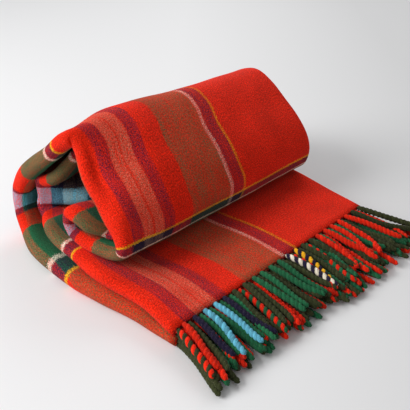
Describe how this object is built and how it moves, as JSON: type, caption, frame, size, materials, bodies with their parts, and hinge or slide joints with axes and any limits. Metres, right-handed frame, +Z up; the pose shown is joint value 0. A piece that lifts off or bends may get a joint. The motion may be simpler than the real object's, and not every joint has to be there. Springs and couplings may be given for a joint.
{
  "type": "travel rug",
  "caption": "Fringed wool travel rug in a tartan check, quartered lengthwise, doubled and loosely rolled with its fringed ends lying out.",
  "frame": {"origin": "under the middle of the whole rug's box, on the surface it lies on", "axes": "+X from the roll towards the fringe, +Y along the roll, +Z up"},
  "size_m": [0.449, 0.4246, 0.1894],
  "materials": {
    "wool_cloth": "fulled wool twill, matt and slightly hairy, red tartan with green, navy, light blue, white and yellow",
    "fringe_yarn_lower": "twisted wool yarn in the warp's colours, mostly red with dark green",
    "fringe_yarn_upper": "twisted wool yarn in the warp's colours"
  },
  "bodies": {
    "root": {"rug": "wool_cloth", "fringe_lower": "fringe_yarn_lower", "fringe_upper": "fringe_yarn_upper"}
  },
  "joints": []
}
